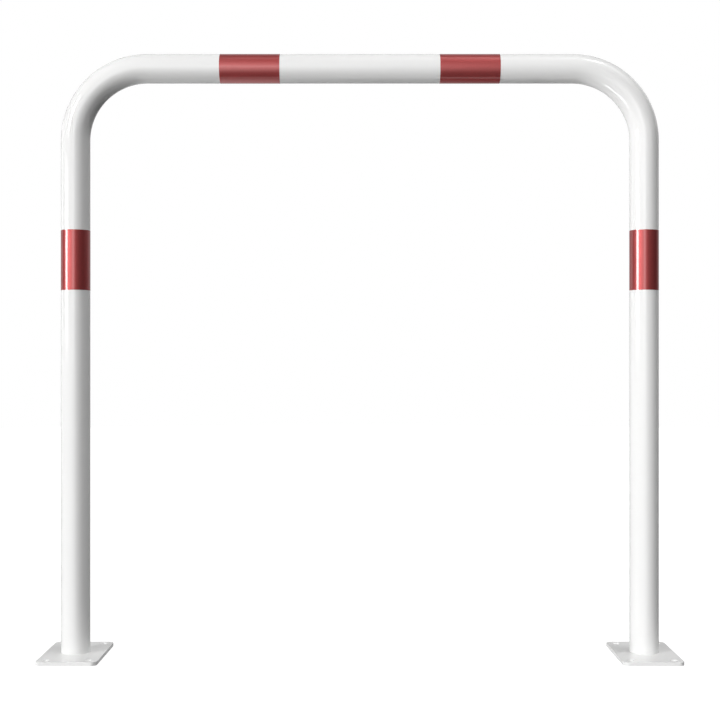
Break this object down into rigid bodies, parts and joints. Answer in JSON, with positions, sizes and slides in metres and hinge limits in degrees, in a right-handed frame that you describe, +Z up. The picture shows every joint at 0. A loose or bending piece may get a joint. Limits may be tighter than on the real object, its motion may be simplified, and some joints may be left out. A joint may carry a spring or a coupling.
{
  "type": "hoop barrier",
  "caption": "Free-standing tubular steel hoop on drilled foot plates, bolted down to keep trucks and carts off machines, racks and doorways.",
  "frame": {"origin": "on the floor, midway between the two legs and in the plane of the hoop", "axes": "+X across the hoop towards the viewer's right, +Y through the hoop to its back, +Z up"},
  "size_m": [1.0516, 0.16, 1.0062],
  "materials": {
    "white_coat": "gloss white powder coat on steel",
    "red_film": "gloss red film"
  },
  "bodies": {
    "root": {"hoop_tube": "white_coat", "left_foot_plate": "white_coat", "right_foot_plate": "white_coat", "left_weld_bead": "white_coat", "right_weld_bead": "white_coat", "left_leg_band": "red_film", "right_leg_band": "red_film", "left_top_band": "red_film", "right_top_band": "red_film"}
  },
  "joints": []
}
